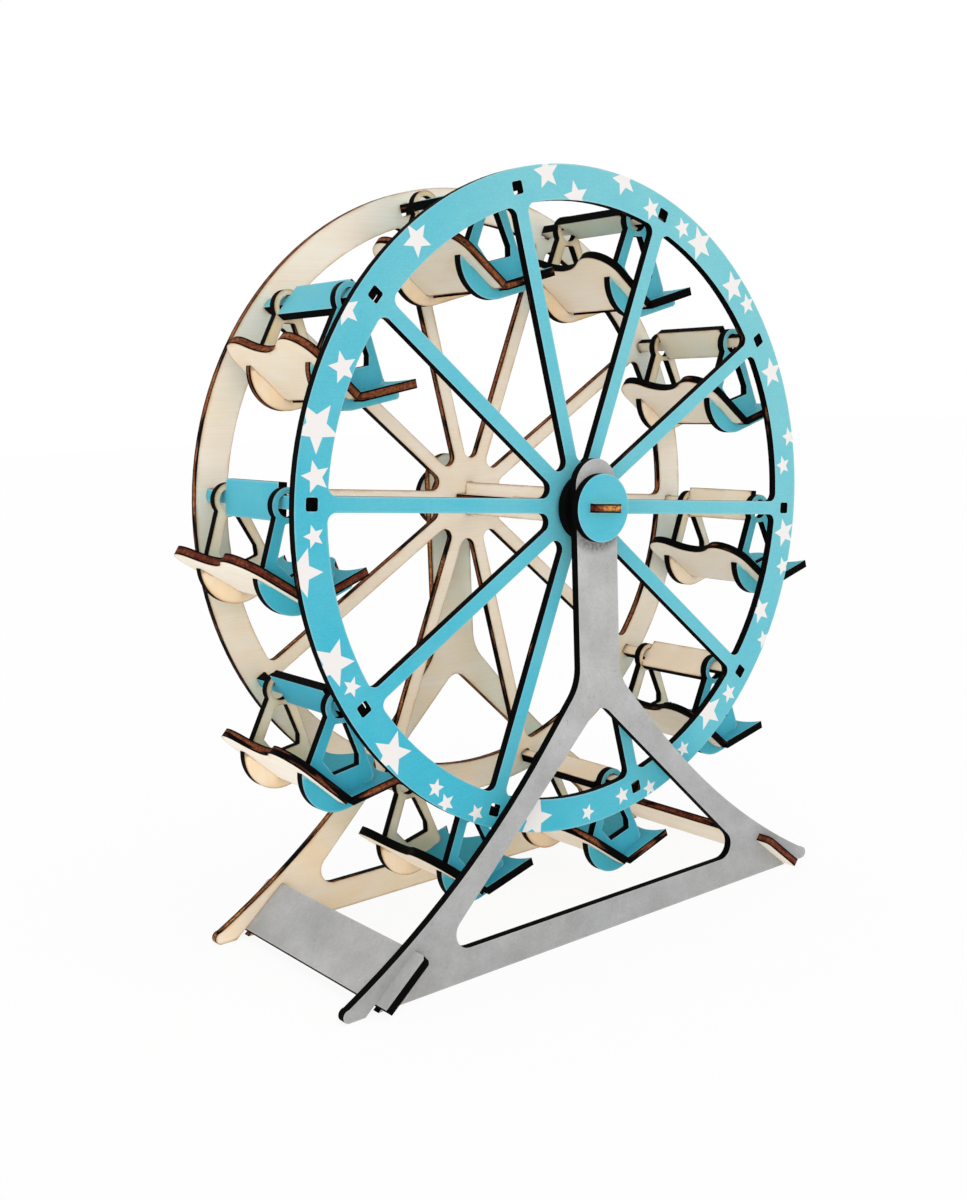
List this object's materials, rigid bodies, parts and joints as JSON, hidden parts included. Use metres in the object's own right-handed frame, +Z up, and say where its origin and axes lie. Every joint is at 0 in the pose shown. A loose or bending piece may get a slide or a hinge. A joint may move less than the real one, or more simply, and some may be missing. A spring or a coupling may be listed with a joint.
{
  "type": "toy ferris wheel",
  "caption": "Toy ferris wheel pressed together from laser-cut plywood: spoked discs joined by bars, hanging bench cars that stay level, and a stand of forked frames and planks.",
  "frame": {"origin": "on the floor below the axle, in the middle of the front frame's thickness", "axes": "+X to the right as seen from the front, +Y to the back along the axle, +Z up"},
  "size_m": [0.2612, 0.098, 0.2642],
  "materials": {
    "concrete_face_ply": "plywood printed on one face with mottled concrete grey, bare on the other, edges charred by the laser",
    "turquoise_face_ply": "plywood printed on one face with glossy turquoise, bare on the other, edges charred by the laser",
    "bare_ply": "bare birch plywood with edges charred by the laser"
  },
  "bodies": {
    "stand": {"front_frame": "concrete_face_ply", "rear_frame": "concrete_face_ply", "left_plank": "concrete_face_ply", "right_plank": "concrete_face_ply"},
    "wheel": {"front_disc": "turquoise_face_ply", "rear_disc": "turquoise_face_ply", "axle_strip_front": "bare_ply", "axle_strip_rear": "bare_ply", "front_washer": "bare_ply", "rear_washer_inner": "bare_ply", "rear_washer_outer": "bare_ply", "front_end_disc": "turquoise_face_ply", "rear_end_disc": "turquoise_face_ply", "car_bars": "turquoise_face_ply"},
    "car_1": {"car_1_front_hanger": "turquoise_face_ply", "car_1_rear_hanger": "turquoise_face_ply", "car_1_seat": "turquoise_face_ply", "car_1_backrest": "turquoise_face_ply"},
    "car_2": {"car_2_front_hanger": "turquoise_face_ply", "car_2_rear_hanger": "turquoise_face_ply", "car_2_seat": "turquoise_face_ply", "car_2_backrest": "turquoise_face_ply"},
    "car_3": {"car_3_front_hanger": "turquoise_face_ply", "car_3_rear_hanger": "turquoise_face_ply", "car_3_seat": "turquoise_face_ply", "car_3_backrest": "turquoise_face_ply"},
    "car_4": {"car_4_front_hanger": "turquoise_face_ply", "car_4_rear_hanger": "turquoise_face_ply", "car_4_seat": "turquoise_face_ply", "car_4_backrest": "turquoise_face_ply"},
    "car_5": {"car_5_front_hanger": "turquoise_face_ply", "car_5_rear_hanger": "turquoise_face_ply", "car_5_seat": "turquoise_face_ply", "car_5_backrest": "turquoise_face_ply"},
    "car_6": {"car_6_front_hanger": "turquoise_face_ply", "car_6_rear_hanger": "turquoise_face_ply", "car_6_seat": "turquoise_face_ply", "car_6_backrest": "turquoise_face_ply"},
    "car_7": {"car_7_front_hanger": "turquoise_face_ply", "car_7_rear_hanger": "turquoise_face_ply", "car_7_seat": "turquoise_face_ply", "car_7_backrest": "turquoise_face_ply"},
    "car_8": {"car_8_front_hanger": "turquoise_face_ply", "car_8_rear_hanger": "turquoise_face_ply", "car_8_seat": "turquoise_face_ply", "car_8_backrest": "turquoise_face_ply"},
    "car_9": {"car_9_front_hanger": "turquoise_face_ply", "car_9_rear_hanger": "turquoise_face_ply", "car_9_seat": "turquoise_face_ply", "car_9_backrest": "turquoise_face_ply"},
    "car_10": {"car_10_front_hanger": "turquoise_face_ply", "car_10_rear_hanger": "turquoise_face_ply", "car_10_seat": "turquoise_face_ply", "car_10_backrest": "turquoise_face_ply"}
  },
  "joints": [
    {"name": "wheel_spin", "type": "hinge", "parent": "stand", "child": "wheel", "pos_m": [0, 0, 0.1507], "axis": [0, 1, 0], "continuous": true},
    {"name": "car_1_swing", "type": "hinge", "parent": "wheel", "child": "car_1", "pos_m": [0.10757, 0.03925, 0.1411], "axis": [0, 1, 0], "continuous": true},
    {"name": "car_2_swing", "type": "hinge", "parent": "wheel", "child": "car_2", "pos_m": [0.09267, 0.03925, 0.20616], "axis": [0, 1, 0], "continuous": true},
    {"name": "car_3_swing", "type": "hinge", "parent": "wheel", "child": "car_3", "pos_m": [0.04237, 0.03925, 0.25004], "axis": [0, 1, 0], "continuous": true},
    {"name": "car_4_swing", "type": "hinge", "parent": "wheel", "child": "car_4", "pos_m": [-0.02411, 0.03925, 0.25597], "axis": [0, 1, 0], "continuous": true},
    {"name": "car_5_swing", "type": "hinge", "parent": "wheel", "child": "car_5", "pos_m": [-0.08138, 0.03925, 0.2217], "axis": [0, 1, 0], "continuous": true},
    {"name": "car_6_swing", "type": "hinge", "parent": "wheel", "child": "car_6", "pos_m": [-0.10757, 0.03925, 0.1603], "axis": [0, 1, 0], "continuous": true},
    {"name": "car_7_swing", "type": "hinge", "parent": "wheel", "child": "car_7", "pos_m": [-0.09267, 0.03925, 0.09524], "axis": [0, 1, 0], "continuous": true},
    {"name": "car_8_swing", "type": "hinge", "parent": "wheel", "child": "car_8", "pos_m": [-0.04237, 0.03925, 0.05136], "axis": [0, 1, 0], "continuous": true},
    {"name": "car_9_swing", "type": "hinge", "parent": "wheel", "child": "car_9", "pos_m": [0.02411, 0.03925, 0.04543], "axis": [0, 1, 0], "continuous": true},
    {"name": "car_10_swing", "type": "hinge", "parent": "wheel", "child": "car_10", "pos_m": [0.08138, 0.03925, 0.0797], "axis": [0, 1, 0], "continuous": true}
  ],
  "couplings": [
    {"joint": "car_1_swing", "follows": "wheel_spin", "ratio": -1},
    {"joint": "car_2_swing", "follows": "wheel_spin", "ratio": -1},
    {"joint": "car_3_swing", "follows": "wheel_spin", "ratio": -1},
    {"joint": "car_4_swing", "follows": "wheel_spin", "ratio": -1},
    {"joint": "car_5_swing", "follows": "wheel_spin", "ratio": -1},
    {"joint": "car_6_swing", "follows": "wheel_spin", "ratio": -1},
    {"joint": "car_7_swing", "follows": "wheel_spin", "ratio": -1},
    {"joint": "car_8_swing", "follows": "wheel_spin", "ratio": -1},
    {"joint": "car_9_swing", "follows": "wheel_spin", "ratio": -1},
    {"joint": "car_10_swing", "follows": "wheel_spin", "ratio": -1}
  ]
}
